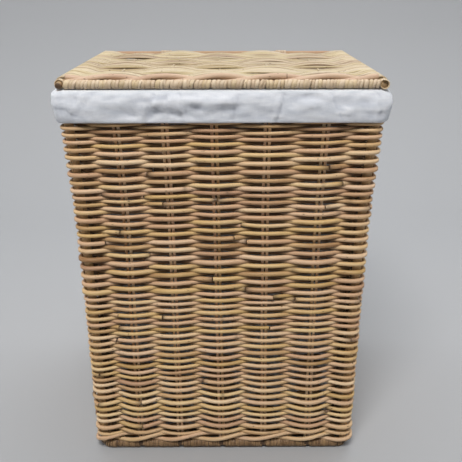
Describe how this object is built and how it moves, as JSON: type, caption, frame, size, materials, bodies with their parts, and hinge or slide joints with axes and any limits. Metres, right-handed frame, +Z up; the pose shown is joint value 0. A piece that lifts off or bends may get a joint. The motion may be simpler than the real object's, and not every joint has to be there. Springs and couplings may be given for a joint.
{
  "type": "laundry basket",
  "caption": "Tall rectangular laundry basket woven from round rattan cane, with a hinged woven lid and a cotton liner folded over the rim.",
  "frame": {"origin": "middle of the underside, where the base frame meets the floor", "axes": "+X to the right along the wide front, +Y from the front to the hinged back, +Z up"},
  "size_m": [0.462, 0.392, 0.629],
  "materials": {
    "weave_cane": "natural round rattan core, satin, tan with pinkish and yellow canes",
    "twist_cane": "natural round rattan core, pinkish tan, satin",
    "stake_cane": "natural round rattan core, golden, satin",
    "pole_cane": "thick rattan pole, satin, dark cut ends",
    "peel_wrap": "split rattan peel, wound, slightly glossy on its skin side",
    "lid_cane": "pale yellow split cane, satin",
    "cotton": "plain-woven white cotton, matt"
  },
  "bodies": {
    "basket": {"stake_pair_front_1": "stake_cane", "stake_pair_front_2": "stake_cane", "stake_pair_front_3": "stake_cane", "stake_pair_front_4": "stake_cane", "stake_pair_front_5": "stake_cane", "stake_pair_back_1": "stake_cane", "stake_pair_back_2": "stake_cane", "stake_pair_back_3": "stake_cane", "stake_pair_back_4": "stake_cane", "stake_pair_back_5": "stake_cane", "stake_pair_left_1": "stake_cane", "stake_pair_left_2": "stake_cane", "stake_pair_left_3": "stake_cane", "stake_pair_left_4": "stake_cane", "stake_pair_right_1": "stake_cane", "stake_pair_right_2": "stake_cane", "stake_pair_right_3": "stake_cane", "stake_pair_right_4": "stake_cane", "corner_post_front_left": "pole_cane", "corner_post_front_right": "pole_cane", "corner_post_back_left": "pole_cane", "corner_post_back_right": "pole_cane", "base_rib_1": "pole_cane", "base_rib_2": "pole_cane", "base_rib_3": "pole_cane", "base_rib_4": "pole_cane", "base_rib_5": "pole_cane", "base_frame": "peel_wrap", "base_weave": "weave_cane", "base_wale_front": "weave_cane", "base_wale_back": "weave_cane", "base_wale_left": "weave_cane", "base_wale_right": "weave_cane", "weave_front": "weave_cane", "weave_back": "weave_cane", "weave_left": "weave_cane", "weave_right": "weave_cane", "rim_frame": "pole_cane", "liner": "cotton", "hinge_loop_left": "peel_wrap", "hinge_loop_right": "peel_wrap"},
    "lid": {"lid_rib_1": "pole_cane", "lid_rib_2": "pole_cane", "lid_rib_3": "pole_cane", "lid_rib_4": "pole_cane", "lid_rib_5": "pole_cane", "lid_bar_rear": "pole_cane", "lid_bar_left": "pole_cane", "lid_bar_right": "pole_cane", "lid_bar_front": "peel_wrap", "lid_weave": "lid_cane", "lid_twist_front": "twist_cane"}
  },
  "joints": [
    {"name": "lid_hinge", "type": "hinge", "parent": "basket", "child": "lid", "pos_m": [0, 0.184, 0.617], "axis": [-1, 0, 0], "range_deg": [0, 180]}
  ]
}
